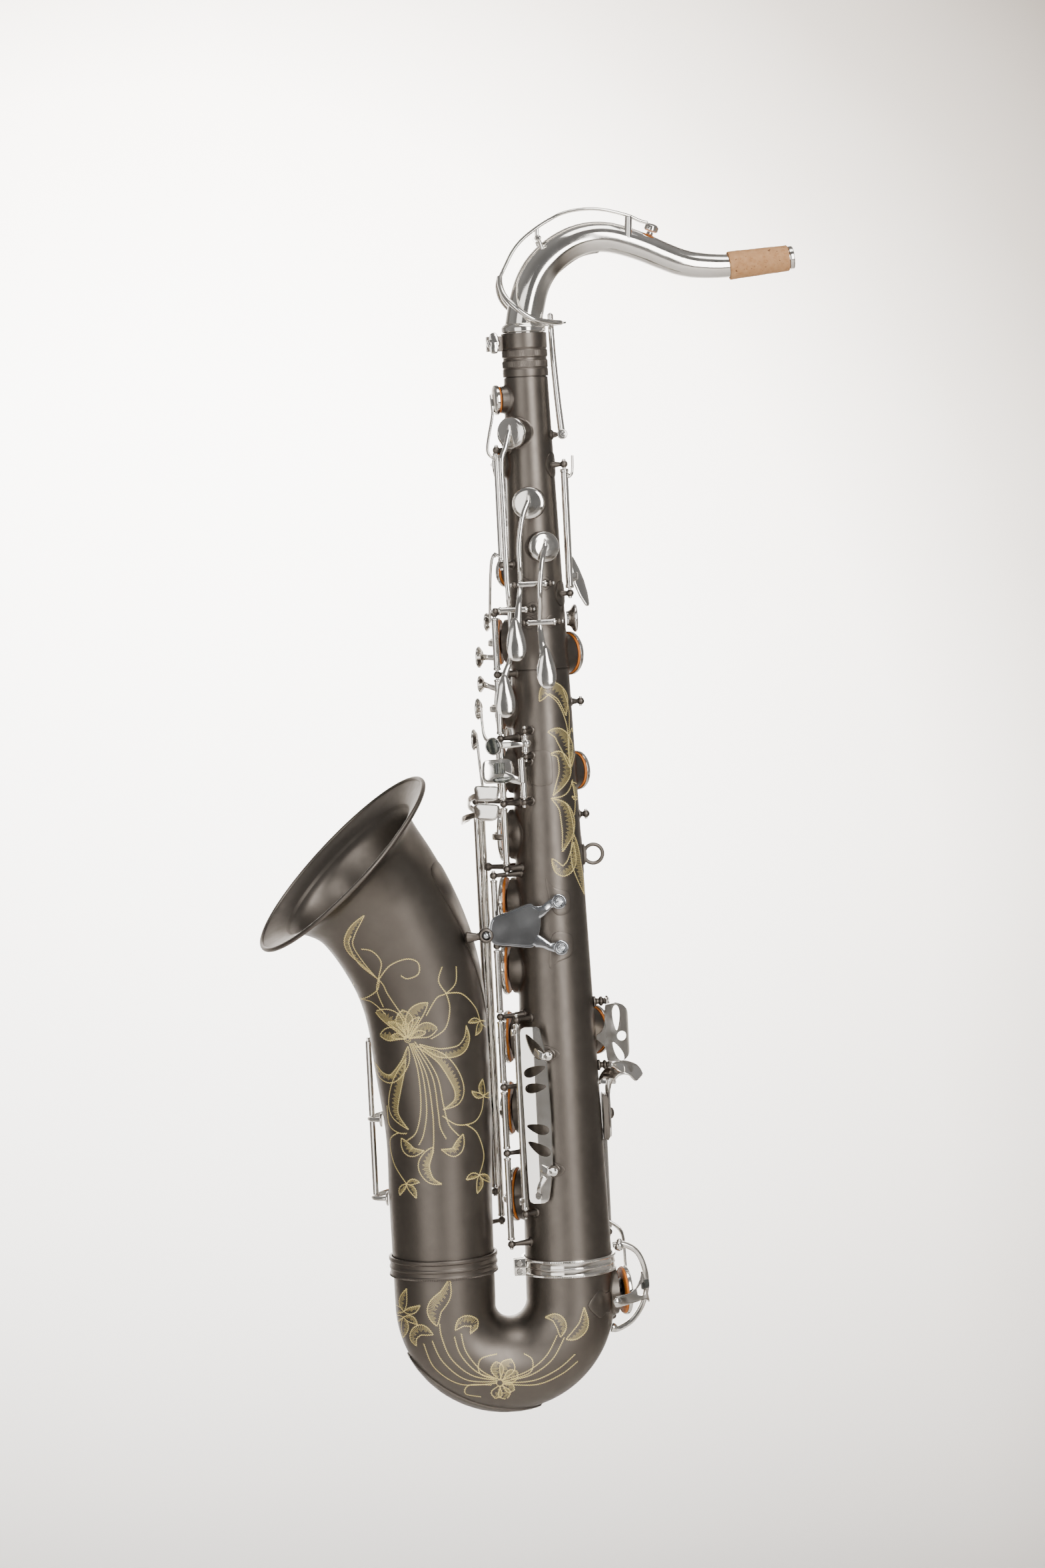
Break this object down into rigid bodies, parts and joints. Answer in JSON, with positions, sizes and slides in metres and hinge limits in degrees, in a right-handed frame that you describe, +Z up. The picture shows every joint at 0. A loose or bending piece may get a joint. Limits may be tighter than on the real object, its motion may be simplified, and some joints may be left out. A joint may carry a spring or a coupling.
{
  "type": "tenor saxophone",
  "caption": "Conical brass wind instrument with a curved neck, bent bow and flared bell, and sprung keys that close padded tone holes.",
  "frame": {"origin": "centre of the strap ring, the ring the neck strap hooks into", "axes": "+Z up along the body tube, +X towards the player and the mouthpiece end of the neck, -Y to the player's left; the bell opens towards -X and up"},
  "size_m": [0.4019, 0.1638, 0.8496],
  "materials": {
    "black_nickel": "satin black nickel over brass",
    "silver": "polished silver plate over brass",
    "leather": "smooth tan leather",
    "cork": "raw cork"
  },
  "bodies": {
    "horn": {"body_tube": "black_nickel", "neck_receiver": "black_nickel", "receiver_screw": "silver", "bow": "black_nickel", "bow_clamp_ring": "silver", "bell": "black_nickel", "bell_ring": "black_nickel", "bell_brace": "silver", "strap_ring": "black_nickel", "thumb_rest": "silver", "thumb_hook": "silver", "eb_guard": "silver", "low_c_guard": "silver", "bell_key_guard": "silver", "side_guard": "silver"},
    "neck": {"neck_tube": "silver", "neck_cork": "cork"},
    "neck_octave": {"neck_octave_key": "silver"},
    "front_f": {"front_f_key": "silver"},
    "high_e": {"high_e_key": "silver"},
    "side_c": {"side_c_key": "silver"},
    "side_bb": {"side_bb_key": "silver"},
    "upper_b": {"upper_b_key": "silver", "upper_b_pad": "leather"},
    "upper_bis": {"upper_bis_key": "silver", "upper_bis_pad": "leather"},
    "upper_a": {"upper_a_key": "silver", "upper_a_pad": "leather"},
    "upper_g": {"upper_g_key": "silver", "upper_g_pad": "leather"},
    "lower_f_sharp": {"lower_f_sharp_key": "silver", "lower_f_sharp_pad": "leather"},
    "lower_f": {"lower_f_key": "silver", "lower_f_pad": "leather"},
    "lower_e": {"lower_e_key": "silver", "lower_e_pad": "leather"},
    "lower_d": {"lower_d_key": "silver", "lower_d_pad": "leather"},
    "low_c_sharp": {"low_c_sharp_key": "silver", "low_c_sharp_pad": "leather"},
    "g_sharp": {"g_sharp_key": "silver", "g_sharp_pad": "leather"},
    "fork_f_sharp": {"fork_f_sharp_key": "silver"},
    "low_eb": {"low_eb_key": "silver", "low_eb_pad": "leather"},
    "low_c": {"low_c_key": "silver", "low_c_pad": "leather"},
    "low_b": {"low_b_key": "silver"},
    "low_bb": {"low_bb_key": "silver"},
    "palm_d": {"palm_d_key": "silver"},
    "palm_eb": {"palm_eb_key": "silver"},
    "palm_f": {"palm_f_key": "silver"},
    "octave_lever": {"octave_lever": "silver"},
    "octave_rocker": {"octave_rocker": "silver"},
    "g_sharp_lever": {"g_sharp_lever": "silver"},
    "low_c_sharp_touch": {"low_c_sharp_touch": "silver"},
    "low_c_sharp_link": {"low_c_sharp_link": "silver"}
  },
  "joints": [
    {"name": "neck_swivel", "type": "hinge", "parent": "horn", "child": "neck", "pos_m": [-0.0316, 0, 0.361], "axis": [0, 0, 1], "range_deg": [-8, 8]},
    {"name": "neck_octave_pivot", "type": "hinge", "parent": "neck", "child": "neck_octave", "pos_m": [-0.019, 0, 0.4345], "axis": [0, -1, 0], "range_deg": [0, 3.5], "stiffness_Nm_per_rad": 0.6, "springref_deg": -8.59},
    {"name": "front_f_hinge", "type": "hinge", "parent": "horn", "child": "front_f", "pos_m": [-0.0561, -0.012, 0.323], "axis": [0, 0, 1], "range_deg": [0, 7], "stiffness_Nm_per_rad": 0.2, "springref_deg": -11.46},
    {"name": "high_e_hinge", "type": "hinge", "parent": "horn", "child": "high_e", "pos_m": [-0.0456, 0.027, 0.278], "axis": [0, 0, 1], "range_deg": [-8, 0], "stiffness_Nm_per_rad": 0.2, "springref_deg": 11.46},
    {"name": "side_c_hinge", "type": "hinge", "parent": "horn", "child": "side_c", "pos_m": [-0.0326, 0.0335, 0.202], "axis": [0, 0, 1], "range_deg": [-8, 0], "stiffness_Nm_per_rad": 0.2, "springref_deg": 11.46},
    {"name": "side_bb_hinge", "type": "hinge", "parent": "horn", "child": "side_bb", "pos_m": [-0.0496, 0.0315, 0.108], "axis": [0, 0, 1], "range_deg": [0, 8], "stiffness_Nm_per_rad": 0.2, "springref_deg": -11.46},
    {"name": "upper_b_hinge", "type": "hinge", "parent": "horn", "child": "upper_b", "pos_m": [-0.0636, -0.0165, 0.153], "axis": [0, 0, 1], "range_deg": [-6, 0], "stiffness_Nm_per_rad": 0.2, "springref_deg": 11.46},
    {"name": "upper_bis_hinge", "type": "hinge", "parent": "horn", "child": "upper_bis", "pos_m": [-0.0636, -0.0165, 0.1065], "axis": [0, 0, 1], "range_deg": [-6, 0], "stiffness_Nm_per_rad": 0.2, "springref_deg": 11.46},
    {"name": "upper_a_hinge", "type": "hinge", "parent": "horn", "child": "upper_a", "pos_m": [-0.0636, -0.0165, 0.062], "axis": [0, 0, 1], "range_deg": [-6, 0], "stiffness_Nm_per_rad": 0.2, "springref_deg": 11.46},
    {"name": "upper_g_hinge", "type": "hinge", "parent": "horn", "child": "upper_g", "pos_m": [-0.0636, -0.0165, 0.0165], "axis": [0, 0, 1], "range_deg": [-6, 0], "stiffness_Nm_per_rad": 0.2, "springref_deg": 11.46},
    {"name": "lower_f_sharp_hinge", "type": "hinge", "parent": "horn", "child": "lower_f_sharp", "pos_m": [-0.0735, -0.018, -0.031], "axis": [0, 0, 1], "range_deg": [-5.5, 0], "stiffness_Nm_per_rad": 0.2, "springref_deg": 11.46},
    {"name": "lower_f_hinge", "type": "hinge", "parent": "horn", "child": "lower_f", "pos_m": [-0.0735, -0.018, -0.079], "axis": [0, 0, 1], "range_deg": [-5.5, 0], "stiffness_Nm_per_rad": 0.2, "springref_deg": 11.46},
    {"name": "lower_e_hinge", "type": "hinge", "parent": "horn", "child": "lower_e", "pos_m": [-0.0735, -0.018, -0.128], "axis": [0, 0, 1], "range_deg": [-5.5, 0], "stiffness_Nm_per_rad": 0.2, "springref_deg": 11.46},
    {"name": "lower_d_hinge", "type": "hinge", "parent": "horn", "child": "lower_d", "pos_m": [-0.0735, -0.018, -0.179], "axis": [0, 0, 1], "range_deg": [-5.5, 0], "stiffness_Nm_per_rad": 0.2, "springref_deg": 11.46},
    {"name": "low_c_sharp_hinge", "type": "hinge", "parent": "horn", "child": "low_c_sharp", "pos_m": [-0.0735, -0.018, -0.241], "axis": [0, 0, 1], "range_deg": [0, 5.5], "stiffness_Nm_per_rad": 0.2, "springref_deg": -11.46},
    {"name": "g_sharp_hinge", "type": "hinge", "parent": "horn", "child": "g_sharp", "pos_m": [-0.0184, 0.0308, 0.1424], "axis": [0, 0, 1], "range_deg": [0, 8], "stiffness_Nm_per_rad": 0.2, "springref_deg": -11.46},
    {"name": "fork_f_sharp_hinge", "type": "hinge", "parent": "horn", "child": "fork_f_sharp", "pos_m": [-0.0184, 0.0308, 0.059], "axis": [0, 0, 1], "range_deg": [0, 8], "stiffness_Nm_per_rad": 0.2, "springref_deg": -11.46},
    {"name": "low_eb_hinge", "type": "hinge", "parent": "horn", "child": "low_eb", "pos_m": [-0.0137, 0.0358, -0.127], "axis": [0, 0, 1], "range_deg": [0, 8], "stiffness_Nm_per_rad": 0.2, "springref_deg": -11.46},
    {"name": "low_c_hinge", "type": "hinge", "parent": "horn", "child": "low_c", "pos_m": [0.0019, 0.031, -0.3135], "axis": [0, 0, 1], "range_deg": [-6, 0], "stiffness_Nm_per_rad": 0.2, "springref_deg": 11.46},
    {"name": "low_b_hinge", "type": "hinge", "parent": "horn", "child": "low_b", "pos_m": [-0.0795, 0.022, -0.15], "axis": [0, 0, 1], "range_deg": [0, 5], "stiffness_Nm_per_rad": 0.2, "springref_deg": -11.46},
    {"name": "low_bb_hinge", "type": "hinge", "parent": "horn", "child": "low_bb", "pos_m": [-0.0752, 0.0285, -0.213], "axis": [0, 0, 1], "range_deg": [0, 5], "stiffness_Nm_per_rad": 0.2, "springref_deg": -11.46},
    {"name": "palm_d_hinge", "type": "hinge", "parent": "horn", "child": "palm_d", "pos_m": [-0.0515, -0.027, 0.176], "axis": [1, 0, 0], "range_deg": [0, 8], "stiffness_Nm_per_rad": 0.3, "springref_deg": -14.32},
    {"name": "palm_eb_hinge", "type": "hinge", "parent": "horn", "child": "palm_eb", "pos_m": [-0.0372, -0.0275, 0.1935], "axis": [1, 0, 0], "range_deg": [0, 8], "stiffness_Nm_per_rad": 0.3, "springref_deg": -14.32},
    {"name": "palm_f_hinge", "type": "hinge", "parent": "horn", "child": "palm_f", "pos_m": [-0.0319, -0.027, 0.1665], "axis": [1, 0, 0], "range_deg": [0, 8], "stiffness_Nm_per_rad": 0.3, "springref_deg": -14.32},
    {"name": "octave_lever_hinge", "type": "hinge", "parent": "horn", "child": "octave_lever", "pos_m": [-0.0091, -0.013, 0.23], "axis": [0, 0, 1], "range_deg": [0, 8], "stiffness_Nm_per_rad": 0.2, "springref_deg": -11.46},
    {"name": "octave_rocker_pivot", "type": "hinge", "parent": "horn", "child": "octave_rocker", "pos_m": [-0.0095, -0.013, 0.297], "axis": [0, 1, 0], "range_deg": [0, 3], "stiffness_Nm_per_rad": 0.2, "springref_deg": -11.46},
    {"name": "g_sharp_lever_hinge", "type": "hinge", "parent": "horn", "child": "g_sharp_lever", "pos_m": [-0.0475, -0.0275, 0.082], "axis": [0, 0, -1], "range_deg": [0, 8], "stiffness_Nm_per_rad": 0.1, "springref_deg": -11.46},
    {"name": "low_c_sharp_touch_hinge", "type": "hinge", "parent": "horn", "child": "low_c_sharp_touch", "pos_m": [-0.05, -0.027, 0.055], "axis": [0, 0, -1], "range_deg": [0, 8], "stiffness_Nm_per_rad": 0.1, "springref_deg": -11.46},
    {"name": "low_c_sharp_link_hinge", "type": "hinge", "parent": "horn", "child": "low_c_sharp_link", "pos_m": [-0.063, -0.025, -0.18], "axis": [0, 0, -1], "range_deg": [0, 6], "stiffness_Nm_per_rad": 0.1, "springref_deg": -11.46}
  ],
  "couplings": [
    {"joint": "octave_rocker_pivot", "follows": "octave_lever_hinge", "ratio": 0.375},
    {"joint": "neck_octave_pivot", "follows": "octave_lever_hinge", "ratio": 0.4375},
    {"joint": "lower_f_sharp_hinge", "follows": "lower_f_hinge", "ratio": 1},
    {"joint": "g_sharp_hinge", "follows": "g_sharp_lever_hinge", "ratio": 1},
    {"joint": "low_c_sharp_link_hinge", "follows": "low_c_sharp_touch_hinge", "ratio": 0.75},
    {"joint": "low_c_sharp_hinge", "follows": "low_c_sharp_touch_hinge", "ratio": 0.6875}
  ]
}
